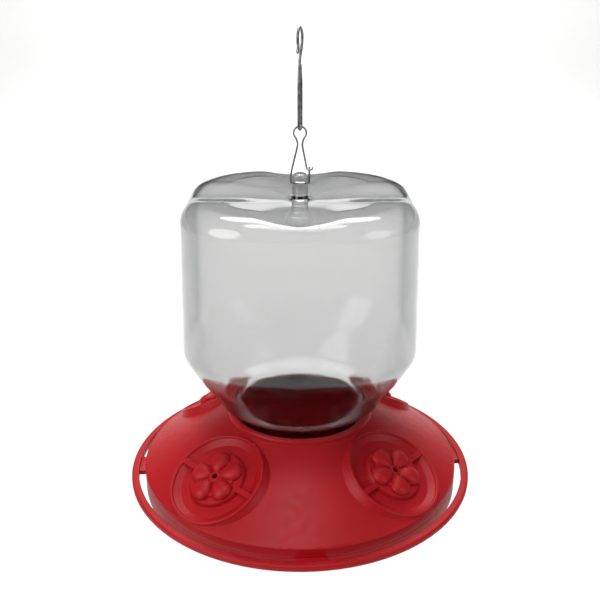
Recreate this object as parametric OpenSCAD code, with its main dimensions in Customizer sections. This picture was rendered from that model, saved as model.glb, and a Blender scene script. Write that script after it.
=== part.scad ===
// Hanging nectar feeder: a clear screw-on jar held upside down in a red moulded base with a perch ring.
// Millimetres, +Z up. The origin is the centre of the tray's underside. X runs along the bail's pin.

/* [Perch ring] */
// Outer diameter of the perch ring, the feeder's largest size
ring_d = 196; // [170:1:240]
// Radial width of the perch bar
ring_bar_w = 4.2; // [3:0.1:6]
// Height of the perch bar
ring_bar_h = 3.6; // [3:0.1:6]
// Clear gap between the perch bar and the tray
ring_gap = 3.8; // [2:0.1:8]
// Number of tabs that carry the perch bar
tab_count = 4; // [3:1:6]
// Width of one tab
tab_w = 15.4; // [8:0.1:24]
// Thickness of one tab
tab_t = 2.6; // [2:0.1:5]

/* [Tray] */
// Height of the tray's outer wall
tray_h = 9; // [7:0.1:14]
// Wall and floor of the moulded base
base_wall = 2; // [1.6:0.1:3]
// How far the locating rim stands above the tray's wall
rim_h = 3.5; // [3:0.1:6]

/* [Deck] */
// Height of the deck's outer skirt
skirt_h = 4.9; // [4:0.1:8]
// Height of the collar's crown above the tray's underside
collar_z = 45.4; // [40:0.1:56]
// Outer diameter of the collar
collar_d = 82.4; // [72:0.1:100]
// Radius of the rounded crown of the collar
collar_round = 1.9; // [1:0.1:2.5]
// How far the cone meets the collar below its crown
collar_proud = 3.1; // [1:0.1:5]
// Turn of the screwed-on base past square with the jar, in degrees
base_turn = 3.6; // [0:0.1:45]

/* [Feeding ports] */
// Diameter of the rim around one port
port_d = 52; // [44:0.5:56]
// How far the rim stands above the cone on its centre line
port_proud = 1.4; // [0.8:0.1:3]
// Depth of the moat inside the rim
moat_depth = 3; // [2:0.1:4]
// Diameter of the raised island that carries the flower
island_d = 31; // [28:0.5:36]
// Width of the two bars that cross the moat
bar_w = 3; // [2:0.1:5]

/* [Flowers] */
// Distance of a petal's centre from the feeding hole
petal_reach = 9.3; // [8:0.1:11]
// Radius of the ball that each petal is a cap of
petal_ball = 6.2; // [5.5:0.1:7]
// Height of a petal's crown above the island
petal_h = 3.6; // [2.5:0.1:4.5]
// Diameter of the feeding hole
feed_d = 3.2; // [2.4:0.1:4]
// Outer diameter of the tube under the flower
stem_d = 9; // [7:0.1:10]
// Length of the tube under the flower
stem_len = 9; // [6:0.5:12]

/* [Jar] */
// Width of the jar across its flats
jar_w = 124; // [110:1:150]
// Radius of the jar's upright corners
jar_corner = 41; // [30:1:50]
// Height of the jar's crest above the tray's underside
jar_top_z = 170.5; // [150:0.5:210]
// Radius of the top shoulder
jar_shoulder = 17; // [10:0.5:24]
// How much narrower each side is at the top than at the bottom of the wall
jar_draft = 2; // [0:0.1:4]
// Wall of the jar
jar_wall = 1.6; // [1.2:0.1:2.5]
// Outer diameter of the neck
neck_d = 72; // [60:0.5:80]
// Pitch of the screw thread
thread_pitch = 6; // [5:0.1:8]
// Depth of the dish in the jar's top
dish_depth = 3.5; // [2:0.1:6]

/* [Hanger] */
// Diameter of the moulded eye that the bail passes through
eye_d = 8; // [7:0.1:10]
// Height of the bail's pin above the jar's crest
pin_rise = 4.3; // [3.5:0.1:6]
// Wire of the bail
bail_wire = 1; // [0.8:0.1:1.4]
// Height of the bail from its pin to the top of its head
bail_h = 29.6; // [24:0.1:36]
// Wire of the hanging hook
hook_wire = 1.4; // [1:0.1:1.6]
// Overall height of the hanging hook
hook_h = 50.5; // [44:0.5:64]

/* [Hidden] */
$fn = 96;

eps = 0.01;
run_gap = 0.3;                                   // clearance between curved faces that move past each other
rest_gap = 0.1;                                  // clearance between flat faces that rest on each other
lock_gap = 0.6;                                  // radial clearance inside the twist lock

// base
ring_r = ring_d / 2;
ring_in = ring_r - ring_bar_w;
tray_r = ring_in - ring_gap;
ring_z = tray_h - ring_bar_h / 2 + 1;            // middle of the perch bar's height
skirt_z = tray_h + rest_gap;
edge_z = skirt_z + skirt_h;                      // where the skirt meets the cone
collar_r = collar_d / 2;
cone_top_z = collar_z - collar_proud;
cone_slope = atan2(cone_top_z - edge_z, tray_r - collar_r);

// neck, socket and screw
neck_r = neck_d / 2;
ridge = 1.2;                                     // how far a thread ridge stands out
ridge_w = 1.8;                                   // width of a thread ridge at its root
socket_r = neck_r + ridge + run_gap;
socket_foot_z = base_wall + 3;
mouth_z = socket_foot_z + 7;
thread_z = mouth_z + 8;
thread_turns = 1.25;
seal_t = 1.6;
seal_z = collar_z - 6;                           // seat of the neck seal
slot_count = 8;
slot_w = 8;
slot_h = 8;

// twist lock between tray and deck
skirt_in = tray_r - base_wall;
keeper_in = skirt_in - 2;
rim_r = keeper_in - lock_gap;
rim_wall = 1.6;
keeper_h = 1.4;
lug_arc = 12;
lug_r = skirt_in - lock_gap;
lug_foot_z = skirt_z + rest_gap + keeper_h + run_gap;
lug_edge_z = edge_z - base_wall / cos(cone_slope) + lock_gap * tan(cone_slope) - run_gap;

// port frame: a port's own z = 0 is the plane of its rim
port_r = port_d / 2;
rim_round = 1.0;
port_axis_r = tray_r - port_r * cos(cone_slope) - 0.4;
port_z = edge_z + (tray_r - port_axis_r) * tan(cone_slope) + port_proud / cos(cone_slope);
moat_r = port_r - 4.5;
island_r = island_d / 2;
island_z = -0.3;
boss_flare = 4;
boss_drop = 7;
port_floor = -moat_depth - base_wall;

// flower
disc_r = 11;
disc_t = 1;
seat_gap = 0.15;
hub_r = 3.4;
hub_h = 1.9;
flower_turns = [26, 6, -20, -38];                // each insert is pushed in at its own angle
port_azimuths = [-135, -45, 45, 135];            // front left, front right, rear right, rear left
petal_count = 5;

// jar
jar_half = jar_w / 2;
jar_low_z = jar_top_z - 80;                      // bottom of the upright wall
bowl_z = collar_z + 8;                           // where the bowl turns under
bowl_r = neck_r + 10;
neck_top_z = collar_z + 4;
dish_r = jar_half * 0.8;
dish_ball = (pow(dish_r, 2) + pow(dish_depth, 2)) / (2 * dish_depth);
valley_r = 60;
valley_depth = 3;

// hanger
pin_z = jar_top_z + pin_rise;
eye_wire_gap = 0.8;                              // room between the eye's cheeks and the wire's legs
leg_x = eye_d / 2 + eye_wire_gap;
head_r = 3.25;
neck_x = 1.05;
head_z = pin_z + bail_h - bail_wire / 2 - head_r;
latch_z = pin_z + 7.2;
stub_z = pin_z + 8.6;
loop_r = 2.5;
crook_r = 4.2;
hook_play = 0.4;                                 // slack of the bail's head on the hook's lower bend
hook_low_z = head_z + head_r - bail_wire / 2 - hook_play - hook_wire / 2;
hook_top_z = hook_low_z + hook_h - hook_wire;
hook_turn = 15;                                  // turn of the hook's plane from the YZ plane
wire_sides = 12;
bend = 1.7;                                      // reach of the bends at the ends of the bail's pin

red = [0.72, 0.07, 0.09];
clear = [0.82, 0.84, 0.86, 0.35];
steel = [0.62, 0.63, 0.65];

// ---- helpers ----

function cut_corners(p) = concat([p[0]],
    [for (i = [0 : len(p) - 2]) for (t = [0.25, 0.75]) p[i] * (1 - t) + p[i + 1] * t],
    [p[len(p) - 1]]);
function rounded(p, n) = n == 0 ? p : rounded(cut_corners(p), n - 1);
function unit(v) = v / norm(v);
function heading(p, i) = unit(p[min(i + 1, len(p) - 1)] - p[max(i - 1, 0)]);

// Part of v that is square to the path at its point i
function square_off(v, p, i) = let (t = heading(p, min(i, len(p) - 1))) unit(v - t * (v * t));

// Round wire swept along a path; side is a direction that is square to its start, and is carried along
module wire(path, d, side) {
    n = wire_sides;
    sides = [for (i = 0, b = square_off(side, path, 0); i < len(path);
                  i = i + 1, b = square_off(b, path, i)) b];
    rings = [for (i = [0 : len(path) - 1])
        let (b = sides[i], u = cross(heading(path, i), b))
        [for (k = [0 : n - 1]) path[i] + d / 2 * (cos(360 * k / n) * u + sin(360 * k / n) * b)]];
    pts = [for (r = rings) for (q = r) q];
    last = len(path) - 1;
    faces = concat(
        [[for (k = [0 : n - 1]) k]],
        [for (i = [0 : last - 1]) for (k = [0 : n - 1])
            [i * n + k, (i + 1) * n + k, (i + 1) * n + (k + 1) % n, i * n + (k + 1) % n]],
        [[for (k = [n - 1 : -1 : 0]) last * n + k]]);
    polyhedron(points = pts, faces = faces, convexity = 6);
}

// Right-hand thread ridge; out = 1 stands outwards from radius r, out = -1 inwards
module thread(r, out, z0, turns, start) {
    steps = round(turns * 48);
    root = r - out * 0.4;
    crest = r + out * ridge;
    function section(i) = let (a = start + i * 360 * turns / steps,
                               z = z0 + i * thread_pitch * turns / steps,
                               c = root + (crest - root) * max(0.15, min(1, i / 5, (steps - i) / 5)))
        [for (q = [[root, -ridge_w / 2], [c, -ridge_w / 4], [c, ridge_w / 4], [root, ridge_w / 2]])
            [q[0] * cos(a), q[0] * sin(a), z + q[1]]];
    pts = [for (i = [0 : steps]) for (q = section(i)) q];
    quads = [for (i = [0 : steps - 1]) for (k = [0 : 3])
        [i * 4 + k, i * 4 + (k + 1) % 4, (i + 1) * 4 + (k + 1) % 4, (i + 1) * 4 + k]];
    tri = [for (q = quads) for (t = [[q[0], q[1], q[2]], [q[0], q[2], q[3]]]) out > 0 ? t : [t[2], t[1], t[0]]];
    caps = [[3, 2, 1, 0], [steps * 4, steps * 4 + 1, steps * 4 + 2, steps * 4 + 3]];
    polyhedron(points = pts, faces = concat(tri, [for (c = caps) out > 0 ? c : [c[3], c[2], c[1], c[0]]]),
               convexity = 8);
}

// Places children in the frame of the port at azimuth a (0 faces +X)
module at_port(a) {
    rotate([0, 0, a + base_turn])
        translate([port_axis_r, 0, port_z])
            rotate([0, cone_slope, 0])
                children();
}

// ---- jar ----

// Outer form of the jar's body, shrunk by inset on every side
module jar_form(inset) {
    top = jar_half - jar_draft;
    r = jar_shoulder - inset;
    difference() {
        hull() {
            for (sx = [-1, 1])
                for (sy = [-1, 1]) {
                    translate([sx * (top - jar_corner), sy * (top - jar_corner), jar_top_z - jar_shoulder])
                        rotate_extrude($fn = 48)
                            translate([jar_corner - jar_shoulder, 0])
                                circle(r, $fn = 32);
                    translate([sx * (jar_half - jar_corner), sy * (jar_half - jar_corner), jar_low_z])
                        cylinder(r = jar_corner - inset, h = 1, $fn = 48);
                }
            translate([0, 0, jar_low_z - 16])
                cylinder(r = jar_half - 5 - inset, h = 1, $fn = 64);
            translate([0, 0, bowl_z + inset / 2])
                cylinder(r = bowl_r - inset, h = 1, $fn = 64);
            translate([0, 0, neck_top_z + inset])
                cylinder(r = neck_r - inset, h = 1, $fn = 64);
        }
        translate([0, 0, jar_top_z - dish_depth - inset + dish_ball + inset])
            sphere(dish_ball + inset, $fn = 128);
        for (a = [0, 90])
            rotate([0, 0, a])
                translate([0, 0, jar_top_z - valley_depth + valley_r])
                    rotate([0, 90, 0])
                        cylinder(r = valley_r + inset, h = jar_w + 20, center = true);
    }
}

module jar() {
    color(clear)
        difference() {
            union() {
                jar_form(0);
                translate([0, 0, mouth_z])
                    cylinder(r = neck_r, h = neck_top_z - mouth_z + 2);
                thread(neck_r, 1, thread_z, thread_turns, 0);
                translate([0, 0, seal_z + seal_t + rest_gap])
                    cylinder(r = neck_r + ridge, h = 1.8);
                translate([0, 0, jar_top_z - dish_depth - 2.5])
                    cylinder(d = eye_d, h = pin_rise + dish_depth + 2.5 + 1.4);
                translate([0, 0, pin_z + 1.4])
                    sphere(d = eye_d);
            }
            difference() {
                jar_form(jar_wall);
                translate([0, 0, jar_top_z - dish_depth - 3])
                    cylinder(d = eye_d, h = 40);
            }
            translate([0, 0, mouth_z - eps])
                cylinder(r = neck_r - jar_wall, h = neck_top_z - mouth_z + 6);
            translate([0, 0, pin_z])
                rotate([0, 90, 0])
                    cylinder(r = bail_wire / 2 + run_gap, h = eye_d + 4, center = true);
        }
}

module neck_seal() {
    color("dimgray")
        translate([0, 0, seal_z])
            difference() {
                cylinder(r = socket_r + 0.9, h = seal_t);
                translate([0, 0, -1])
                    cylinder(r = neck_r + run_gap, h = seal_t + 2);
            }
}

// ---- deck ----

module deck_shell() {
    rotate_extrude($fn = 180)
        difference() {
            union() {
                polygon([[tray_r - base_wall, skirt_z], [tray_r, skirt_z], [tray_r, edge_z],
                         [collar_r - 0.4, cone_top_z + 0.2], [collar_r - collar_round, collar_z - collar_round],
                         [collar_r - collar_round - 1, cone_top_z - base_wall / cos(cone_slope)],
                         [tray_r - base_wall, edge_z - base_wall / cos(cone_slope)]]);
                translate([socket_r, socket_foot_z])
                    square([base_wall, seal_z - 3 - socket_foot_z + eps]);
                polygon([[socket_r, seal_z - 3], [collar_r - 0.2, seal_z - 3], [collar_r, seal_z - 2],
                         [collar_r, collar_z - collar_round], [socket_r, collar_z - collar_round]]);
                translate([collar_r - collar_round, collar_z - collar_round])
                    circle(collar_round, $fn = 48);
                translate([tray_r - 1.2, edge_z - 0.6])
                    circle(1.2, $fn = 32);
            }
            translate([0, seal_z - rest_gap])
                square([socket_r + 1.2, 20]);
        }
}

// Boss that carries the port: a flared outside, a rounded rim, the moat and the island
module port_boss() {
    rotate_extrude($fn = 120)
        union() {
            polygon([[0, port_floor], [port_r + rim_round + boss_flare, -boss_drop],
                     [port_r + rim_round, -rim_round], [port_r - rim_round, -rim_round],
                     [moat_r, -moat_depth], [island_r + 0.8, -moat_depth], [island_r, island_z - 0.8],
                     [island_r - 0.8, island_z], [0, island_z]]);
            translate([port_r, -rim_round])
                circle(rim_round, $fn = 32);
        }
}

// Space kept free above the boss: the moat's air, so the cone doesn't fill it
module port_air() {
    rotate_extrude($fn = 120)
        polygon([[0, island_z], [island_r - 0.8, island_z], [island_r, island_z - 0.8],
                 [island_r + 0.8, -moat_depth], [moat_r, -moat_depth], [port_r - rim_round, -rim_round],
                 [port_r, 0], [port_r, 12], [0, 12]]);
}

// Hollow under the boss, so that it is a shell like the rest of the deck
module port_hollow() {
    rotate_extrude($fn = 120)
        polygon([[0, port_floor], [moat_r + 0.5, port_floor], [port_r - 0.6, -rim_round - base_wall],
                 [port_r + boss_flare - 1.6, -boss_drop], [port_r + boss_flare - 1.6, -boss_drop - 12],
                 [0, -boss_drop - 12]]);
}

// The room that the bosses may fill: inside the deck's edge, and clear of the twist lock and the socket
module boss_room() {
    low = skirt_z + 0.6;
    lock_in = rim_r - rim_wall - lock_gap;
    lock_top = tray_h + rim_h + 0.4;
    rotate_extrude($fn = 180)
        polygon([[socket_r + 1, low], [lock_in, low], [lock_in, lock_top], [skirt_in, lock_top],
                 [skirt_in, low], [tray_r, low], [tray_r, 2 * collar_z], [socket_r + 1, 2 * collar_z]]);
}

module deck() {
    color(red)
        difference() {
            union() {
                difference() {
                    deck_shell();
                    for (a = port_azimuths)
                        at_port(a) {
                            port_air();
                            port_hollow();
                        }
                }
                intersection() {
                    port_bosses();
                    boss_room();
                }
                thread(socket_r, -1, thread_z + thread_pitch / 2 - 0.2, thread_turns, 0);
                for (k = [0 : 3])
                    rotate([0, 0, k * 90 + 45 - lug_arc / 2])
                        rotate_extrude(angle = lug_arc, $fn = 180)
                            translate([keeper_in, skirt_z + rest_gap])
                                square([skirt_in - keeper_in + 0.5, keeper_h]);
            }
            for (k = [0 : slot_count - 1])
                rotate([0, 0, k * 360 / slot_count + base_turn])
                    translate([socket_r - 2, -slot_w / 2, socket_foot_z - 1])
                        cube([base_wall + 4, slot_w, slot_h + 1]);
            for (a = port_azimuths)
                at_port(a)
                    cylinder(r = stem_d / 2 + run_gap, h = 60, center = true);
        }
}

module port_bosses() {
    for (a = port_azimuths)
        at_port(a)
            difference() {
                union() {
                    port_boss();
                    port_bars();
                }
                port_hollow();
            }
}

// Two bars cross the moat along the deck's circumference
module port_bars() {
    intersection() {
        difference() {
            translate([-bar_w / 2, -port_r + 0.5, -moat_depth - 0.5])
                cube([bar_w, port_d - 1, moat_depth + 0.5 + island_z]);
            cylinder(r = island_r - 2, h = 20, center = true);
        }
        cylinder(r = port_r - 0.5, h = 20, center = true);
    }
}

// ---- tray with the perch ring ----

module tray_with_perch() {
    color(red) {
        rotate_extrude($fn = 180)
            polygon([[0, 0], [tray_r - 1, 0], [tray_r, 1], [tray_r, tray_h], [rim_r, tray_h],
                     [rim_r, tray_h + rim_h], [rim_r - rim_wall, tray_h + rim_h],
                     [rim_r - rim_wall, tray_h - base_wall], [tray_r - base_wall, tray_h - base_wall],
                     [tray_r - base_wall, base_wall], [0, base_wall]]);
        rotate_extrude($fn = 180)
            translate([ring_in, ring_z - ring_bar_h / 2])
                perch_section();
        for (k = [0 : tab_count - 1])
            rotate([0, 0, base_turn + k * 360 / tab_count])
                intersection() {
                    translate([tray_r - 1, -tab_w / 2, tray_h - tab_t])
                        cube([ring_gap + 2.5, tab_w, tab_t]);
                    difference() {
                        cylinder(r = ring_in + 1.5, h = 40, $fn = 180);
                        cylinder(r = tray_r - 1, h = 90, center = true, $fn = 180);
                    }
                }
        for (k = [0 : 3])
            rotate([0, 0, k * 90 + 45 - lug_arc / 2])
                rotate_extrude(angle = lug_arc, $fn = 180)
                    polygon([[rim_r - 0.5, lug_foot_z], [lug_r, lug_foot_z], [lug_r, lug_edge_z],
                             [rim_r, tray_h + rim_h], [rim_r - 0.5, tray_h + rim_h]]);
    }
}

// Cross-section of the perch bar: a rectangle with round corners
module perch_section() {
    r = 1.3;
    translate([r, 0])
        square([ring_bar_w - 2 * r, ring_bar_h]);
    translate([0, r])
        square([ring_bar_w, ring_bar_h - 2 * r]);
    for (x = [r, ring_bar_w - r])
        for (y = [r, ring_bar_h - r])
            translate([x, y])
                circle(r, $fn = 24);
}

// ---- flowers ----

module flower(a, turn) {
    color(red)
        at_port(a)
            rotate([0, 0, turn])
                difference() {
                    union() {
                        intersection() {
                            union() {
                                for (k = [0 : petal_count - 1])
                                    rotate([0, 0, 180 + k * 360 / petal_count])
                                        translate([petal_reach, 0, island_z + petal_h - petal_ball])
                                            sphere(petal_ball, $fn = 48);
                                translate([0, 0, island_z])
                                    cylinder(r = disc_r, h = disc_t);
                                translate([0, 0, island_z])
                                    cylinder(r = hub_r, h = hub_h);
                            }
                            translate([0, 0, island_z + seat_gap])
                                cylinder(r = 30, h = 20);
                        }
                        translate([0, 0, -stem_len])
                            cylinder(d = stem_d, h = stem_len + island_z + disc_t);
                    }
                    cylinder(d = feed_d, h = 60, center = true);
                }
}

module flower_front_left() flower(port_azimuths[0], flower_turns[0]);
module flower_front_right() flower(port_azimuths[1], flower_turns[1]);
module flower_rear_right() flower(port_azimuths[2], flower_turns[2]);
module flower_rear_left() flower(port_azimuths[3], flower_turns[3]);

// ---- bail and hook ----

// One wire: latch stub, pin through the eye, left leg, round head, right leg and its catch on the stub
module bail_clip() {
    head = [for (a = [-50 : 20 : 230]) [-head_r * cos(a), 0, head_z + head_r * sin(a)]];
    neck_low = head_z - 6.1;
    neck_high = head_z - 4.6;
    foot = rounded([[leg_x, 0, stub_z], [leg_x, 0, pin_z + bend], [leg_x, 0, pin_z], [leg_x - bend, 0, pin_z],
                    [bend - leg_x, 0, pin_z], [-leg_x, 0, pin_z], [-leg_x, 0, pin_z + bend],
                    [-leg_x, 0, pin_z + 3 * bend], [-neck_x, 0, neck_low], [-neck_x - 0.3, 0, neck_high],
                    head[0]], 2);
    catch = rounded([head[len(head) - 1], [neck_x + 0.3, 0, neck_high], [neck_x, 0, neck_low],
                     [leg_x - 1.6, 0, latch_z + 2.2], [leg_x - 1.3, -0.9, latch_z],
                     [leg_x + 0.2, -1.5, latch_z - 0.2], [leg_x + 1.6, -1.1, latch_z + 0.4],
                     [leg_x + 1.7, 0.6, latch_z + 0.9]], 2);
    color(steel)
        wire(concat(foot, [for (i = [1 : len(head) - 2]) head[i]], catch), bail_wire, [0, 1, 0]);
}

// Long S of spring wire: a narrow loop below that holds the bail, a small open crook above
module hanging_hook() {
    low = hook_low_z + loop_r;
    top = hook_top_z - crook_r;
    loop = [for (a = [180 : 20 : 360]) [0, loop_r * cos(a), low + loop_r * sin(a)]];
    crook = [for (a = [0 : 20 : 180]) [0, crook_r * cos(a), top + crook_r * sin(a)]];
    path = concat(
        [for (i = [9 : -1 : 0]) loop[i]],
        [[0, -loop_r, top - 22], [0, -0.9, top - 12.5], [0, 0.4, top - 8.5], [0, crook_r, top - 3.4]],
        crook,
        [[0, -crook_r, top - 2.5], [0, -crook_r + 1.1, top - 5.2], [0, -crook_r - 0.6, top - 7.2]]);
    back = [[0, loop_r, top - 22], [0, 0.75, top - 14.5], [0, 1.2, top - 13.2]];
    color(steel)
        rotate([0, 0, -hook_turn])
            wire(rounded(concat([back[2], back[1], back[0]], path), 2), hook_wire, [1, 0, 0]);
}

hanging_hook();
bail_clip();
jar();
neck_seal();
deck();
tray_with_perch();
flower_front_left();
flower_front_right();
flower_rear_right();
flower_rear_left();
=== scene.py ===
import math

import bmesh
import bpy
from bpy.props import FloatProperty, FloatVectorProperty, IntProperty, PointerProperty
from mathutils import Matrix, Vector


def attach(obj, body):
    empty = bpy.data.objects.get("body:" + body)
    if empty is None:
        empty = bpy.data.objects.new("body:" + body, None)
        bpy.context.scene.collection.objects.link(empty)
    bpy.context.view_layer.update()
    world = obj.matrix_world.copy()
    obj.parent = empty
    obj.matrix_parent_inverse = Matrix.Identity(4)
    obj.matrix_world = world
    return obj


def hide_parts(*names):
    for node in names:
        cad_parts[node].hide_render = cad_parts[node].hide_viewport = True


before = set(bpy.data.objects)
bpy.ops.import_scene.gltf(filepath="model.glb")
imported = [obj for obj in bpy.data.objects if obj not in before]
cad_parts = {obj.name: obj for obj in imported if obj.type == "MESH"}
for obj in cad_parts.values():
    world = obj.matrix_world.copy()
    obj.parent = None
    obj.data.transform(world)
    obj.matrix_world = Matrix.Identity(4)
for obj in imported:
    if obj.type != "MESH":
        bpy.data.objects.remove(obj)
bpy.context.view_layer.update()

bl_info = {
    "name": "Hanging Nectar Feeder",
    "version": (1, 0, 0),
    "blender": (4, 5, 0),
    "location": "3D View > Sidebar > Feeder",
    "description": "Jar, flower inserts, wire hanger and moulded base of a hanging nectar feeder",
    "category": "Object",
}

# shared sizes in millimetres and degrees
MM = 0.001
SEAT_GAP = 0.15
ISLAND_Z = -0.3
CONE_SLOPE = math.atan2(28.3, 48.8)
PORT_AXIS_R = 67.11
PORT_Z = 28.894
BASE_TURN = 3.6
RING_STEPS = 288
PERCH_LOW, PERCH_TOP, PERCH_ROUND = 6.4, 10, 1.35
LUG_START, LUG_ARC = 39, 12
PIN_Z = 174.8
EYE_BORE_R = 0.8
HOOK_TURN = -15
DOME_TIP, DOME_SHOULDER = 0.55, 0.85
FLOWERS = {
    "flower_front_left": (-135, 26),
    "flower_front_right": (-45, 6),
    "flower_rear_right": (45, -20),
    "flower_rear_left": (135, -38),
}


# ---- helpers ----


def linear(hex_colour):
    """Linear RGBA from an sRGB hex colour such as B0161E."""
    channels = [int(hex_colour[i:i + 2], 16) / 255 for i in (0, 2, 4)]
    return [c / 12.92 if c <= 0.04045 else ((c + 0.055) / 1.055) ** 2.4 for c in channels] + [1.0]


def soften(corners, fine=9):
    """A smooth line from (across, up, round) corners: a corner with a round gets an arc of that radius."""
    line = []
    for before, here, after in zip(corners[:1] + corners, corners, corners[1:] + corners[-1:]):
        corner = Vector(here[:2])
        back, ahead = Vector(before[:2]) - corner, Vector(after[:2]) - corner
        if not here[2] or back.length < 1e-6 or ahead.length < 1e-6:
            line.append(corner)
            continue
        opening = back.angle(ahead)
        reach = min(here[2] / math.tan(opening / 2), back.length * 0.499, ahead.length * 0.499)
        radius = reach * math.tan(opening / 2)
        inward = (back.normalized() + ahead.normalized()).normalized()
        centre = corner + inward * (radius / math.sin(opening / 2))
        start = corner + back.normalized() * reach - centre
        end = corner + ahead.normalized() * reach - centre
        first = math.atan2(start.y, start.x)
        sweep = (math.atan2(end.y, end.x) - first + math.pi) % math.tau - math.pi
        steps = max(2, math.ceil(abs(math.degrees(sweep)) / fine))
        for i in range(steps + 1):
            turn = first + sweep * i / steps
            line.append(centre + Vector((math.cos(turn), math.sin(turn))) * radius)
    return line


def divide(line, longest):
    """The same line with no stretch longer than that, in mm."""
    fine = [line[0]]
    for here in line[1:]:
        start = fine[-1]
        parts = max(1, math.ceil((here - start).length / longest))
        fine += [start.lerp(here, i / parts) for i in range(1, parts + 1)]
    return fine


def lathe(line, steps, closed=False):
    """Turns a line of (radius, height) points in mm once round Z."""
    bm = bmesh.new()
    verts = [bm.verts.new((x * MM, 0, z * MM)) for x, z in line]
    edges = [bm.edges.new(pair) for pair in zip(verts, verts[1:])]
    if closed:
        edges.append(bm.edges.new((verts[-1], verts[0])))
    bmesh.ops.spin(bm, geom=verts + edges, cent=(0, 0, 0), axis=(0, 0, 1), angle=math.tau, steps=steps,
                   use_merge=True)
    bmesh.ops.remove_doubles(bm, verts=bm.verts, dist=1e-6)
    bmesh.ops.recalc_face_normals(bm, faces=bm.faces)
    return bm


def spin_about_z(bm, degrees):
    """Turns a whole shape about Z."""
    turn = Matrix.Rotation(math.radians(degrees), 3, "Z")
    bmesh.ops.rotate(bm, verts=bm.verts, cent=(0, 0, 0), matrix=turn)


def join(bm, other):
    """Adds another shape to this one, and frees the other."""
    spare = bpy.data.meshes.new("spare")
    other.to_mesh(spare)
    other.free()
    bm.from_mesh(spare)
    bpy.data.meshes.remove(spare)


def smooth_step(low, high, value):
    """0 below the low value, 1 above the high one, and an S-curve between."""
    t = max(0.0, min(1.0, (value - low) / (high - low)))
    return t * t * (3 - 2 * t)


def cut_corners(path, times):
    """Rounds the corners of a wire's path by cutting them again and again."""
    for _ in range(times):
        path = [path[0]] + [a.lerp(b, t) for a, b in zip(path, path[1:]) for t in (0.25, 0.75)] + [path[-1]]
    return path


def draw_wire(bm, path, diameter, sides=20):
    """Draws a round wire along a path in mm, with domed ends."""
    last = len(path) - 1
    headings = [(path[min(i + 1, last)] - path[max(i - 1, 0)]).normalized() for i in range(last + 1)]
    upright = Vector((0, 0, 1)).rotation_difference(headings[0]).to_matrix().to_4x4()
    ring = bmesh.ops.create_circle(bm, segments=sides, radius=diameter / 2 * MM * DOME_TIP,
                                   matrix=Matrix.Translation(path[0] * MM) @ upright)
    rim = list({e for v in ring["verts"] for e in v.link_edges})
    bmesh.ops.contextual_create(bm, geom=rim)

    def carry(rim, matrix):
        made = bmesh.ops.extrude_edge_only(bm, edges=rim)["geom"]
        bmesh.ops.transform(bm, verts=[g for g in made if isinstance(g, bmesh.types.BMVert)], matrix=matrix)
        return [g for g in made if isinstance(g, bmesh.types.BMEdge)]

    def swell(at, heading, scale, along):
        turn = Vector((0, 0, 1)).rotation_difference(heading).to_matrix().to_4x4()
        place = Matrix.Translation(at * MM)
        shift = Matrix.Translation(heading * along * MM)
        widen = Matrix.Diagonal((scale, scale, 1, 1))
        return shift @ place @ turn @ widen @ turn.inverted() @ place.inverted()

    rim = carry(rim, swell(path[0], headings[0], DOME_SHOULDER / DOME_TIP, diameter * 0.10))
    rim = carry(rim, swell(path[0], headings[0], 1 / DOME_SHOULDER, diameter * 0.15))
    for i in range(1, len(path)):
        start = path[i - 1] + (headings[0] * diameter * 0.25 if i == 1 else Vector())
        turn = headings[i - 1].rotation_difference(headings[i]).to_matrix().to_4x4()
        rim = carry(rim, Matrix.Translation(path[i] * MM) @ turn @ Matrix.Translation(-start * MM))
    rim = carry(rim, swell(path[-1], headings[-1], DOME_SHOULDER, diameter * 0.15))
    rim = carry(rim, swell(path[-1], headings[-1], DOME_TIP / DOME_SHOULDER, diameter * 0.10))
    bmesh.ops.contextual_create(bm, geom=rim)
    bmesh.ops.recalc_face_normals(bm, faces=bm.faces)


def place_piece(bm, name, body, material, slot, *nodes, crease=40):
    """Makes the finished piece, smooth but for its sharp edges, and hands it to its body."""
    mesh = bpy.data.meshes.new(name)
    bm.to_mesh(mesh)
    bm.free()
    mesh.materials.append(material)
    piece = bpy.data.objects.new(name, mesh)
    bpy.context.scene.collection.objects.link(piece)
    mesh.polygons.foreach_set("use_smooth", [True] * len(mesh.polygons))
    mesh.set_sharp_from_angle(angle=math.radians(crease))
    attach(piece, body)
    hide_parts(*nodes)
    return piece


def add(tree, kind, values=(), links=()):
    """Adds a node: values are its properties or sockets by name, links feed its sockets."""
    made = tree.nodes.new("ShaderNode" + kind)
    for name, value in dict(values).items():
        if hasattr(made, name):
            setattr(made, name, value)
        else:
            made.inputs[name].default_value = value
    for name, source in dict(links).items():
        tree.links.new(source, made.inputs[name])
    return made


def new_finish(name):
    """An empty material and its tree."""
    material = bpy.data.materials.new(name)
    material.use_nodes = True
    material.node_tree.nodes.clear()
    return material, material.node_tree


def show(tree, shader):
    """Sends the shader to the material's output."""
    output = add(tree, "OutputMaterial")
    tree.links.new(shader.outputs[0], output.inputs["Surface"])


# ---- finishes ----


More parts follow.
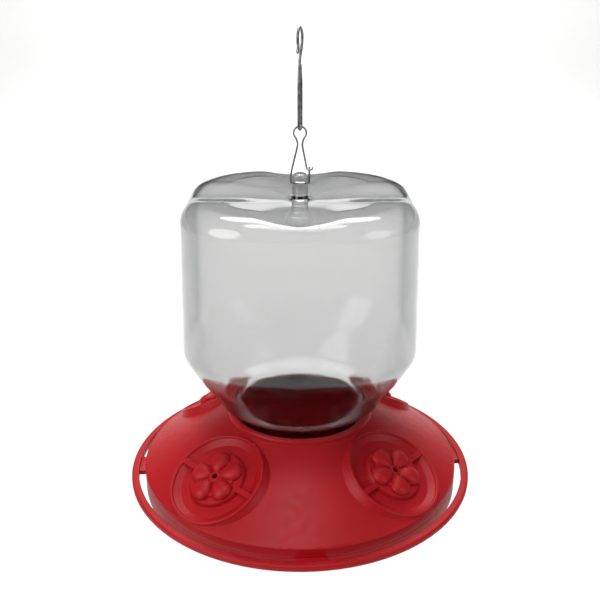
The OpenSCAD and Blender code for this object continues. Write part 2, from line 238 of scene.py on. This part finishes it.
def red_polypropylene(colours):
    """Injection-moulded red polypropylene: a semi-gloss skin with a fine spark-eroded grain and
    soft sink marks, so highlights spread wide and pinkish and break up a little at their edges."""
    material, tree = new_finish("injection_moulded_red_polypropylene")
    place = add(tree, "TexCoord").outputs["Object"]
    # pigment swirls about 25 mm across
    swirl = add(tree, "TexNoise", {"Scale": 40.0, "Detail": 3.0, "Roughness": 0.5}, {"Vector": place})
    pigment = add(tree, "ValToRGB", links={"Fac": swirl.outputs["Fac"]})
    pigment.color_ramp.elements[0].position = 0.3
    pigment.color_ramp.elements[1].position = 0.7
    pigment.color_ramp.elements[0].color = linear("AA1119")
    pigment.color_ramp.elements[1].color = (*colours.red, 1.0)
    # handling marks about 4 mm across change only the gloss
    marks = add(tree, "TexNoise", {"Scale": 250.0, "Detail": 4.0, "Roughness": 0.6}, {"Vector": place})
    gloss = add(tree, "MapRange", {"From Min": 0.3, "From Max": 0.7, "To Min": 0.38, "To Max": 0.48},
                {"Value": marks.outputs["Fac"]})
    # eroded grain, 0.1 mm on the real part and drawn at 0.5 mm so that it shows
    grain = add(tree, "TexNoise", {"Scale": 2000.0, "Detail": 2.0}, {"Vector": place})
    sink = add(tree, "TexNoise", {"Scale": 60.0, "Detail": 1.0}, {"Vector": place})
    # the mould's corners are rounded by about 0.7 mm, so every edge has a soft light line
    edge = add(tree, "Bevel", {"samples": 6, "Radius": 0.0007})
    fine = add(tree, "Bump", {"Strength": 0.12, "Distance": 0.00005},
               {"Height": grain.outputs["Fac"], "Normal": edge.outputs["Normal"]})
    broad = add(tree, "Bump", {"Strength": 0.25, "Distance": 0.0004},
                {"Height": sink.outputs["Fac"], "Normal": fine.outputs["Normal"]})
    skin = add(tree, "BsdfPrincipled", {"IOR": 1.49, "Specular IOR Level": 0.25},
               {"Base Color": pigment.outputs["Color"], "Roughness": gloss.outputs["Result"],
                "Normal": broad.outputs["Normal"]})
    show(tree, skin)
    return material


def clear_pet(colours):
    """Blow-moulded clear PET: the wall is even but not flat, so what is behind it bends softly,
    its edges carry a painted grey shade, and faint upright draw lines run down from the mould."""
    material, tree = new_finish("blow_moulded_clear_pet")
    place = add(tree, "TexCoord").outputs["Object"]
    # draw lines about 6 mm apart round the wall and many times longer down it
    stretch = add(tree, "Mapping", {"Scale": (1.0, 1.0, 0.08)}, {"Vector": place})
    lines = add(tree, "TexNoise", {"Scale": 160.0, "Detail": 1.0}, {"Vector": stretch.outputs["Vector"]})
    swell = add(tree, "TexNoise", {"Scale": 45.0, "Detail": 1.0}, {"Vector": place})
    drawn = add(tree, "Bump", {"Strength": 0.10, "Distance": 0.0002}, {"Height": lines.outputs["Fac"]})
    soft = add(tree, "Bump", {"Strength": 0.15, "Distance": 0.0005},
               {"Height": swell.outputs["Fac"], "Normal": drawn.outputs["Normal"]})
    # handling haze, patches about 8 mm across
    haze = add(tree, "TexNoise", {"Scale": 120.0, "Detail": 5.0}, {"Vector": place})
    gloss = add(tree, "MapRange", {"From Min": 0.35, "From Max": 0.75, "To Min": 0.05, "To Max": 0.12},
                {"Value": haze.outputs["Fac"]})
    # painted shade: the base colour turns grey where the wall is seen edge-on, in place of the longer light
    # path through the plastic, so the outline and the creases look greyer
    depth = add(tree, "LayerWeight", {"Blend": 0.5})
    tint = add(tree, "ValToRGB", links={"Fac": depth.outputs["Facing"]})
    tint.color_ramp.elements[0].position = 0.6
    tint.color_ramp.elements[1].position = 0.97
    tint.color_ramp.elements[0].color = (*colours.clear, 1.0)
    tint.color_ramp.elements[1].color = linear("83868A")
    # the wall's base colour carries the painted grey edge shade from the ramp above
    wall = add(tree, "BsdfPrincipled", {"IOR": 1.5, "Transmission Weight": 1.0},
               {"Base Color": tint.outputs["Color"], "Roughness": gloss.outputs["Result"],
                "Normal": soft.outputs["Normal"]})
    show(tree, wall)
    return material


def drawn_steel(name, tint, dark):
    """Drawn zinc-plated spring steel: fine die lines along the wire and cloudy plating,
    so it glints grey along one side and stays dark on the other."""
    material, tree = new_finish(name)
    place = add(tree, "TexCoord").outputs["Object"]
    # die lines 0.15 mm apart, drawn long down the wire
    stretch = add(tree, "Mapping", {"Scale": (1.0, 1.0, 0.05)}, {"Vector": place})
    lines = add(tree, "TexNoise", {"Scale": 6000.0, "Detail": 2.0}, {"Vector": stretch.outputs["Vector"]})
    cloud = add(tree, "TexNoise", {"Scale": 400.0, "Detail": 4.0}, {"Vector": place})
    plating = add(tree, "ValToRGB", links={"Fac": cloud.outputs["Fac"]})
    plating.color_ramp.elements[0].position = 0.35
    plating.color_ramp.elements[1].position = 0.65
    plating.color_ramp.elements[0].color = linear(dark)
    plating.color_ramp.elements[1].color = (*tint, 1.0)
    gloss = add(tree, "MapRange", {"From Min": 0.3, "From Max": 0.7, "To Min": 0.22, "To Max": 0.38},
                {"Value": lines.outputs["Fac"]})
    fine = add(tree, "Bump", {"Strength": 0.2, "Distance": 0.00002}, {"Height": lines.outputs["Fac"]})
    wire = add(tree, "BsdfPrincipled", {"Metallic": 1.0},
               {"Base Color": plating.outputs["Color"], "Roughness": gloss.outputs["Result"],
                "Normal": fine.outputs["Normal"]})
    show(tree, wire)
    return material


def moulded_rubber():
    """Moulded nitrile rubber: near-black, matt and slightly dusty."""
    material, tree = new_finish("moulded_nitrile_rubber")
    place = add(tree, "TexCoord").outputs["Object"]
    dust = add(tree, "TexNoise", {"Scale": 700.0, "Detail": 5.0}, {"Vector": place})
    tone = add(tree, "ValToRGB", links={"Fac": dust.outputs["Fac"]})
    tone.color_ramp.elements[0].color = linear("232324")
    tone.color_ramp.elements[1].color = linear("3A3A3B")
    skin = add(tree, "Bump", {"Strength": 0.2, "Distance": 0.00005}, {"Height": dust.outputs["Fac"]})
    seal = add(tree, "BsdfPrincipled", {"Roughness": 0.75, "IOR": 1.52},
               {"Base Color": tone.outputs["Color"], "Normal": skin.outputs["Normal"]})
    show(tree, seal)
    return material


def studio_paper():
    """Matt white background paper, with a faint tooth."""
    material, tree = new_finish("matt_white_background_paper")
    place = add(tree, "TexCoord").outputs["Object"]
    tooth = add(tree, "TexNoise", {"Scale": 300.0, "Detail": 3.0}, {"Vector": place})
    tone = add(tree, "ValToRGB", links={"Fac": tooth.outputs["Fac"]})
    tone.color_ramp.elements[0].color = linear("F4F4F3")
    tone.color_ramp.elements[1].color = linear("F8F8F7")
    paper = add(tree, "BsdfPrincipled", {"Roughness": 0.9}, {"Base Color": tone.outputs["Color"]})
    show(tree, paper)
    return material


# ---- settings ----


class FeederColours(bpy.types.PropertyGroup):
    red: FloatVectorProperty(name="Red plastic", description="Colour of the moulded base and flowers",
                             subtype="COLOR", size=3, min=0, max=1, default=linear("B6121B")[:3])
    clear: FloatVectorProperty(name="Clear plastic", description="Tint of the jar", subtype="COLOR", size=3,
                               min=0, max=1, default=linear("D8D8D8")[:3])
    steel: FloatVectorProperty(name="Wire", description="Colour of the plated wire", subtype="COLOR", size=3,
                               min=0, max=1, default=linear("A3A5A8")[:3])


class TraySettings(bpy.types.PropertyGroup):
    diameter: FloatProperty(name="Diameter", description="Outer diameter of the perch ring", unit="LENGTH",
                            min=0.17, max=0.24, default=0.196)
    perch_width: FloatProperty(name="Perch", description="Width of the perch bar", unit="LENGTH",
                               min=0.003, max=0.006, default=0.0042)
    gap: FloatProperty(name="Gap", description="Gap between the perch bar and the tray", unit="LENGTH",
                       min=0.002, max=0.008, default=0.0038)
    tab: FloatProperty(name="Tab", description="Width of a tab", unit="LENGTH", min=0.008, max=0.024,
                       default=0.0154)


class JarSettings(bpy.types.PropertyGroup):
    width: FloatProperty(name="Width", description="Width of the jar across its flats", unit="LENGTH",
                         min=0.1, max=0.15, default=0.124)
    corner: FloatProperty(name="Corner", description="Radius of the jar's upright corners", unit="LENGTH",
                          min=0.02, max=0.055, default=0.041)
    wall: FloatProperty(name="Wall", description="Thickness of the jar's wall", unit="LENGTH",
                        min=0.001, max=0.003, default=0.0016)
    valley: FloatProperty(name="Valley", description="Depth of the four valleys in the jar's top",
                          unit="LENGTH", min=0, max=0.006, default=0.003)
    steps: IntProperty(name="Steps", description="Steps round the jar", min=48, max=384, default=192)


class FlowerSettings(bpy.types.PropertyGroup):
    reach: FloatProperty(name="Reach", description="Radius of the whole flower", unit="LENGTH",
                         min=0.012, max=0.017, default=0.01495)
    height: FloatProperty(name="Height", description="Height of a petal above its seat", unit="LENGTH",
                          min=0.002, max=0.005, default=0.00345)
    petals: IntProperty(name="Petals", description="Number of petals", min=4, max=6, default=5)


class WireSettings(bpy.types.PropertyGroup):
    bail: FloatProperty(name="Bail wire", description="Diameter of the bail's wire", unit="LENGTH",
                        min=0.0008, max=0.0014, default=0.001)
    hook: FloatProperty(name="Hook wire", description="Diameter of the hook's wire", unit="LENGTH",
                        min=0.001, max=0.0018, default=0.0014)


# ---- pieces ----


class FEEDER_OT_base(bpy.types.Operator):
    """Finish the deck and the neck seal"""

    bl_idname = "feeder.base"
    bl_label = "Base"

    def execute(self, context):
        red = red_polypropylene(context.scene.feeder_colours)
        finishes = (("deck", red, "red_plastic"), ("neck_seal", moulded_rubber(), "seal_rubber"))
        for name, material, slot in finishes:
            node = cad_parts[name]
            node.data.materials.clear()
            node.data.materials.append(material)
        return {"FINISHED"}


class FEEDER_OT_tray(bpy.types.Operator):
    """Mould the tray with its twist-lock lugs, its tabs and the perch ring"""

    bl_idname = "feeder.tray"
    bl_label = "Tray"

    def execute(self, context):
        shape = context.scene.feeder_tray
        outer, bar = shape.diameter / 2 / MM, shape.perch_width / MM
        inner = outer - bar
        edge = inner - shape.gap / MM
        bm = lathe(divide(soften([
            (0, 0, 0), (edge, 0, 1.4), (edge, 9, 0.4), (85.4, 9, 0.3), (85.4, 12.5, 0.4), (83.8, 12.5, 0.4),
            (83.8, 7, 0.3), (edge - 2, 7, 0.2), (edge - 2, 2, 0.8), (0, 2, 0)]), 12), RING_STEPS)
        section = [(inner, PERCH_LOW, PERCH_ROUND), (outer, PERCH_LOW, PERCH_ROUND),
                   (outer, PERCH_TOP, PERCH_ROUND), (inner, PERCH_TOP, PERCH_ROUND)]
        join(bm, lathe(soften(section, 12), RING_STEPS, closed=True))
        for k in range(4):
            join(bm, self.tab(BASE_TURN + 90 * k, edge - 0.8, inner + 1.2, shape.tab / MM))
            join(bm, self.lug(LUG_START + 90 * k, LUG_ARC))
        red = bpy.data.materials["injection_moulded_red_polypropylene"]
        place_piece(bm, "moulded_tray", "tray", red, "red_plastic", "tray_with_perch")
        return {"FINISHED"}

    @staticmethod
    def tab(turn, start, end, width):
        """A flat tab from the tray's wall to the perch bar, with rounded edges."""
        bm = bmesh.new()
        bmesh.ops.create_cube(bm, size=1, matrix=Matrix.Translation(((start + end) / 2 * MM, 0, 7.7 * MM))
                              @ Matrix.Diagonal(((end - start) * MM, width * MM, 2.6 * MM, 1)))
        bmesh.ops.bevel(bm, geom=bm.edges[:], offset=0.35 * MM, segments=3, profile=0.5, affect="EDGES",
                        material=-1)
        spin_about_z(bm, turn)
        return bm

    @staticmethod
    def lug(start, arc):
        """A twist-lock lug that stands out from the locating rim."""
        bm = bmesh.new()
        corners = [(84.9, 10.9), (87.4, 10.9), (87.4, 11.74), (85.5, 12.4), (84.9, 12.4)]
        face = bm.faces.new([bm.verts.new((x * MM, 0, z * MM)) for x, z in corners])
        bmesh.ops.spin(bm, geom=[face], cent=(0, 0, 0), axis=(0, 0, 1), angle=math.radians(arc), steps=10)
        bmesh.ops.recalc_face_normals(bm, faces=bm.faces)
        sharp = [e for e in bm.edges if e.is_manifold and e.calc_face_angle(0) > 0.9]
        bmesh.ops.bevel(bm, geom=sharp, offset=0.3 * MM, segments=2, profile=0.5, affect="EDGES", material=-1)
        spin_about_z(bm, start)
        return bm


class FEEDER_OT_jar(bpy.types.Operator):
    """Blow the jar: a round neck, a square body and a petalled top with its moulded eye"""

    bl_idname = "feeder.jar"
    bl_label = "Jar"

    def execute(self, context):
        shape = context.scene.feeder_jar
        half, corner, wall = shape.width / 2 / MM, shape.corner / MM, shape.wall / MM
        inner = [(0, 165.0, 0), (9, 165.1, 8), (40, 168.9, 12), (half - 2 - wall, 170.5 - wall, 17 - wall),
                 (half - wall, 90.2, 14), (56.5 - wall, 74.4, 26), (46 - wall, 54.9, 4), (36 - wall, 51, 3),
                 (36 - wall, 12, 0.75)]
        outer = [(36, 12, 0.75), (36, 49.2, 2.5), (46, 53.4, 5), (56.5, 74, 26), (half, 90.5, 14),
                 (half - 2, 170.5, 17), (40, 170.4, 12), (9, 166.7, 8), (4, 166.4, 2.2), (4, 180.2, 3.98),
                 (0, 180.2, 0)]
        bm = lathe(divide(soften(inner + outer, 7), 2.5), shape.steps)
        straight = half - 1 - corner

        def squareness(angle):
            """How much further out a square with round corners is in this direction than a circle."""
            a = abs((angle + math.pi / 4) % (math.pi / 2) - math.pi / 4)
            if math.tan(a) <= straight / (half - 1):
                return 1 / math.cos(a)
            along = straight * (math.cos(a) + math.sin(a))
            return (along + math.sqrt(along ** 2 - 2 * straight ** 2 + corner ** 2)) / (half - 1)

        for v in bm.verts:
            r, z = math.hypot(v.co.x, v.co.y) / MM, v.co.z / MM
            share = smooth_step(54, 92, z) * smooth_step(8, 30, r)
            grow = 1 + (squareness(math.atan2(v.co.y, v.co.x)) - 1) * share
            v.co.x *= grow
            v.co.y *= grow
            if z > 150 and r > 4.5:
                side = min(abs(v.co.x), abs(v.co.y)) / MM
                inside = z < 169.2 and r < half - 2 - wall - 0.1 and self.is_inner(v)
                floor = 170.5 - shape.valley / MM + side ** 2 / 120 - (wall if inside else 0)
                h = max(0.0, min(1.0, 0.5 + 0.5 * (floor - z) / 2.0))
                v.co.z = (floor * (1 - h) + z * h - 2.0 * h * (1 - h)) * MM
        self.add_thread(bm)
        colours = context.scene.feeder_colours
        jar = place_piece(bm, "blown_jar", "jar", clear_pet(colours), "clear_plastic", "jar")
        self.drill_eye(jar)
        return {"FINISHED"}

    @staticmethod
    def is_inner(v):
        """True where the wall's face looks into the jar."""
        return v.normal.dot(Vector((v.co.x * 0.3, v.co.y * 0.3, v.co.z - 0.11))) < 0

    @staticmethod
    def add_thread(bm):
        """One and a quarter turns of screw ridge at 6 mm pitch, and the stop ring over the seal."""
        steps, turns, pitch = 80, 1.25, 6.0
        section = [bm.verts.new((r * MM, 0, z * MM)) for r, z in ((35.6, 19.1), (37.2, 19.55), (37.2, 20.45),
                                                                   (35.6, 20.9))]
        face = bm.faces.new(section)
        bmesh.ops.spin(bm, geom=[face], cent=(0, 0, 0), axis=(0, 0, 1), angle=math.tau * turns, steps=steps,
                       dvec=(0, 0, pitch * turns / steps * MM))
        ring = lathe(soften([(35.6, 41.1, 0), (37.2, 41.1, 0.3), (37.2, 42.9, 0.5), (35.6, 42.9, 0)]), 192,
                     closed=True)
        join(bm, ring)
        bmesh.ops.recalc_face_normals(bm, faces=bm.faces)

    @staticmethod
    def drill_eye(jar):
        """The cross bore that the bail's pin passes through."""
        bm = bmesh.new()
        along_x = Matrix.Translation((0, 0, PIN_Z * MM)) @ Matrix.Rotation(math.pi / 2, 4, "Y")
        bmesh.ops.create_cone(bm, segments=32, radius1=EYE_BORE_R * MM, radius2=EYE_BORE_R * MM, depth=14 * MM,
                              cap_ends=True, matrix=along_x)
        mesh = bpy.data.meshes.new("drill")
        bm.to_mesh(mesh)
        bm.free()
        drill = bpy.data.objects.new("drill", mesh)
        bpy.context.scene.collection.objects.link(drill)
        cut = jar.modifiers.new("eye_bore", "BOOLEAN")
        cut.operation = "DIFFERENCE"
        cut.object = drill
        cut.solver = "EXACT"
        bpy.context.view_layer.update()
        drilled = bpy.data.meshes.new_from_object(jar.evaluated_get(bpy.context.evaluated_depsgraph_get()))
        jar.modifiers.clear()
        jar.data = drilled
        bpy.data.objects.remove(drill)


class FEEDER_OT_flowers(bpy.types.Operator):
    """Mould the four push-in flowers with their plump petals and feeding tubes"""

    bl_idname = "feeder.flowers"
    bl_label = "Flowers"

    def execute(self, context):
        shape = context.scene.feeder_flowers
        red = bpy.data.materials.get("injection_moulded_red_polypropylene")
        if red is None:
            raise RuntimeError("finish the base first: the flowers share its plastic")
        reach, height = shape.reach / MM, shape.height / MM
        seat = ISLAND_Z + SEAT_GAP
        tube = [(1.6, -9, 0.3), (4.5, -9, 0.5), (4.5, seat, 0), (11, seat, 0), (11, 0.5, 0.3),
                (3.4, 0.5, 0.8), (2.5, 1.5, 0.4), (1.6, 1.5, 0.4)]
        inner = 2.2
        length, middle = (reach - inner) / 2, (reach + inner) / 2
        for name, (azimuth, turn) in FLOWERS.items():
            bm = lathe(soften(tube), 64, closed=True)
            for k in range(shape.petals):
                made = bmesh.ops.create_uvsphere(bm, u_segments=40, v_segments=24, radius=1.0)["verts"]
                faces = list({f for v in made for f in v.link_faces})
                edges = list({e for v in made for e in v.link_edges})
                cut = bmesh.ops.bisect_plane(bm, geom=made + edges + faces, plane_co=(0, 0, 0),
                                             plane_no=(0, 0, -1), clear_outer=True)
                rim = [g for g in cut["geom_cut"] if isinstance(g, bmesh.types.BMEdge)]
                kept = [g for g in cut["geom"] if isinstance(g, bmesh.types.BMVert)]
                kept = list(set(kept) | {v for e in rim for v in e.verts})
                bmesh.ops.contextual_create(bm, geom=rim)
                for v in kept:
                    v.co.y *= 1 + 0.28 * v.co.x
                    v.co.z = max(0.0, v.co.z) ** 0.92 * (1 + 0.06 * v.co.x)
                bmesh.ops.transform(bm, verts=kept, matrix=(
                    Matrix.Rotation(math.radians(180 + k * 360 / shape.petals), 4, "Z")
                    @ Matrix.Translation((middle * MM, 0, seat * MM))
                    @ Matrix.Diagonal((length * MM, 5.3 * MM, height * MM, 1))))
            place = (Matrix.Rotation(math.radians(azimuth + BASE_TURN), 4, "Z")
                     @ Matrix.Translation((PORT_AXIS_R * MM, 0, PORT_Z * MM))
                     @ Matrix.Rotation(CONE_SLOPE, 4, "Y")
                     @ Matrix.Rotation(math.radians(turn), 4, "Z"))
            bmesh.ops.transform(bm, verts=bm.verts, matrix=place)
            bmesh.ops.recalc_face_normals(bm, faces=bm.faces)
            place_piece(bm, name.replace("flower", "petalled_flower"), name, red, "red_plastic", name)
        return {"FINISHED"}


class FEEDER_OT_wires(bpy.types.Operator):
    """Bend the bail and the hanging hook"""

    bl_idname = "feeder.wires"
    bl_label = "Wires"

    def execute(self, context):
        wires = context.scene.feeder_wires
        tint = context.scene.feeder_colours.steel
        self.bend_bail(wires.bail / MM, drawn_steel("drawn_plated_steel_bail", tint, "77797C"))
        self.bend_hook(wires.hook / MM, drawn_steel("drawn_plated_steel_hook", tint, "6C6E71"))
        return {"FINISHED"}

    @staticmethod
    def bend_bail(diameter, steel):
        """One wire: latch stub, pin through the eye, left leg, round head, right leg and its catch."""
        leg, pin, bend, head_r, head_z, neck = 4.8, PIN_Z, 1.7, 3.25, 200.65, 1.05
        latch = pin + 7.2
        head = [Vector((-head_r * math.cos(math.radians(a)), 0, head_z + head_r * math.sin(math.radians(a))))
                for a in range(-50, 231, 10)]
        foot = cut_corners([Vector(p) for p in (
            (leg, 0, pin + 8.6), (leg, 0, pin + bend), (leg, 0, pin), (leg - bend, 0, pin),
            (bend - leg, 0, pin), (-leg, 0, pin), (-leg, 0, pin + bend), (-leg, 0, pin + 3 * bend),
            (-neck, 0, head_z - 6.1), (-neck - 0.3, 0, head_z - 4.6), head[0])], 3)
        catch = cut_corners([head[-1]] + [Vector(p) for p in (
            (neck + 0.3, 0, head_z - 4.6), (neck, 0, head_z - 6.1), (leg - 1.6, 0, latch + 2.2),
            (leg - 1.3, -0.9, latch), (leg + 0.2, -1.5, latch - 0.2), (leg + 1.6, -1.1, latch + 0.4),
            (leg + 1.7, 0.6, latch + 0.9))], 3)
        bm = bmesh.new()
        draw_wire(bm, foot[:-1] + head + catch[1:], diameter)
        place_piece(bm, "bent_bail", "bail", steel, "bail_steel", "bail_clip")

    @staticmethod
    def bend_hook(diameter, steel):
        """A long S: a narrow loop below that holds the bail, a small open crook above."""
        loop_r, crook_r, low, top = 2.5, 4.2, 204.8, 247.2
        loop = [Vector((0, loop_r * math.cos(math.radians(a)), low + loop_r * math.sin(math.radians(a))))
                for a in range(360, 179, -10)]
        crook = [Vector((0, crook_r * math.cos(math.radians(a)), top + crook_r * math.sin(math.radians(a))))
                 for a in range(0, 181, 10)]
        tail = [Vector(p) for p in ((0, 1.2, top - 13.2), (0, 0.75, top - 14.5), (0, loop_r, top - 22))]
        path = (tail + loop
                + [Vector(p) for p in ((0, -loop_r, top - 22), (0, -0.9, top - 12.5), (0, 0.4, top - 8.5),
                                       (0, crook_r, top - 3.4))] + crook
                + [Vector(p) for p in ((0, -crook_r, top - 2.5), (0, -crook_r + 1.1, top - 5.2),
                                       (0, -crook_r - 0.6, top - 7.2))])
        bm = bmesh.new()
        draw_wire(bm, cut_corners(path, 3), diameter)
        spin_about_z(bm, HOOK_TURN)
        place_piece(bm, "bent_hook", "hook", steel, "hook_steel", "hanging_hook")


class FEEDER_OT_stage(bpy.types.Operator):
    """Set the pale floor, the soft lights and the camera"""

    bl_idname = "feeder.stage"
    bl_label = "Stage"

    def execute(self, context):
        scene = context.scene
        bm = bmesh.new()
        line = soften([(-4, -0.45, 0), (2.4, -0.45, 0.8), (2.4, 0.55, 0)], 9)
        verts = [bm.verts.new((-5, y, z)) for y, z in line]
        edges = [bm.edges.new(pair) for pair in zip(verts, verts[1:])]
        made = bmesh.ops.extrude_edge_only(bm, edges=edges)["geom"]
        bmesh.ops.translate(bm, verts=[g for g in made if isinstance(g, bmesh.types.BMVert)], vec=(10, 0, 0))
        bmesh.ops.recalc_face_normals(bm, faces=bm.faces)
        mesh = bpy.data.meshes.new("paper_sweep")
        bm.to_mesh(mesh)
        bm.free()
        mesh.polygons.foreach_set("use_smooth", [True] * len(mesh.polygons))
        mesh.materials.append(studio_paper())
        sweep = bpy.data.objects.new("paper_sweep", mesh)
        scene.collection.objects.link(sweep)

        world = bpy.data.worlds.new("soft_room")
        world.use_nodes = True
        world.node_tree.nodes["Background"].inputs["Color"].default_value = linear("E8EBEE")
        world.node_tree.nodes["Background"].inputs["Strength"].default_value = 0.16
        scene.world = world
        for name, at, aim, size, power in (
                ("left_softbox", (-1.0, -0.75, 0.7), (0, 0, 0.06), 1.1, 11.0),
                ("right_softbox", (1.1, -0.75, 0.6), (0, 0, 0.08), 1.0, 4.0),
                ("top_softbox", (-0.08, -0.22, 1.3), (0, 0, 0.04), 0.55, 4.4),
                ("paper_light", (0, 1.9, 2.9), (0, 1.9, -0.45), 2.6, 98.0),
                ("wall_light", (0, 1.35, 1.35), (0, 2.4, 0.15), 1.2, 18.0)):
            light = bpy.data.lights.new(name, "AREA")
            light.shape = "DISK"
            light.size = size
            light.energy = power
            lamp = bpy.data.objects.new(name, light)
            lamp.location = at
            lamp.rotation_euler = (Vector(aim) - Vector(at)).to_track_quat("-Z", "Y").to_euler()
            scene.collection.objects.link(lamp)
        camera = bpy.data.objects.new("camera", bpy.data.cameras.new("camera"))
        camera.data.sensor_width = 36
        camera.data.lens = 48.24
        camera.data.clip_start = 0.01
        camera.location = (0, -0.4118, 0.2683)
        camera.rotation_euler = (math.radians(68.93), 0, 0)
        scene.collection.objects.link(camera)
        scene.camera = camera
        scene.view_settings.view_transform = "Standard"
        return {"FINISHED"}


class FEEDER_PT_panel(bpy.types.Panel):
    """Sizes, colours and pieces of the feeder"""

    bl_idname = "FEEDER_PT_panel"
    bl_label = "Nectar Feeder"
    bl_space_type = "VIEW_3D"
    bl_region_type = "UI"
    bl_category = "Feeder"

    def draw(self, context):
        scene, column = context.scene, self.layout.column()
        for group in (getattr(scene, name) for name in GROUPS):
            for name in group.__annotations__:
                column.prop(group, name)
        for operator in OPERATORS:
            column.operator(operator.bl_idname)


OPERATORS = (FEEDER_OT_base, FEEDER_OT_tray, FEEDER_OT_jar, FEEDER_OT_flowers, FEEDER_OT_wires,
             FEEDER_OT_stage)
GROUPS = {
    "feeder_colours": FeederColours,
    "feeder_tray": TraySettings,
    "feeder_jar": JarSettings,
    "feeder_flowers": FlowerSettings,
    "feeder_wires": WireSettings,
}
CLASSES = (*GROUPS.values(), *OPERATORS, FEEDER_PT_panel)


def register():
    for cls in CLASSES:
        bpy.utils.register_class(cls)
    for name, group in GROUPS.items():
        setattr(bpy.types.Scene, name, PointerProperty(type=group))


def unregister():
    for name in GROUPS:
        delattr(bpy.types.Scene, name)
    for cls in reversed(CLASSES):
        bpy.utils.unregister_class(cls)


def main():
    register()
    bpy.ops.feeder.base()
    bpy.ops.feeder.tray()
    bpy.ops.feeder.jar()
    bpy.ops.feeder.flowers()
    bpy.ops.feeder.wires()
    bpy.ops.feeder.stage()


if __name__ == "__main__":
    main()
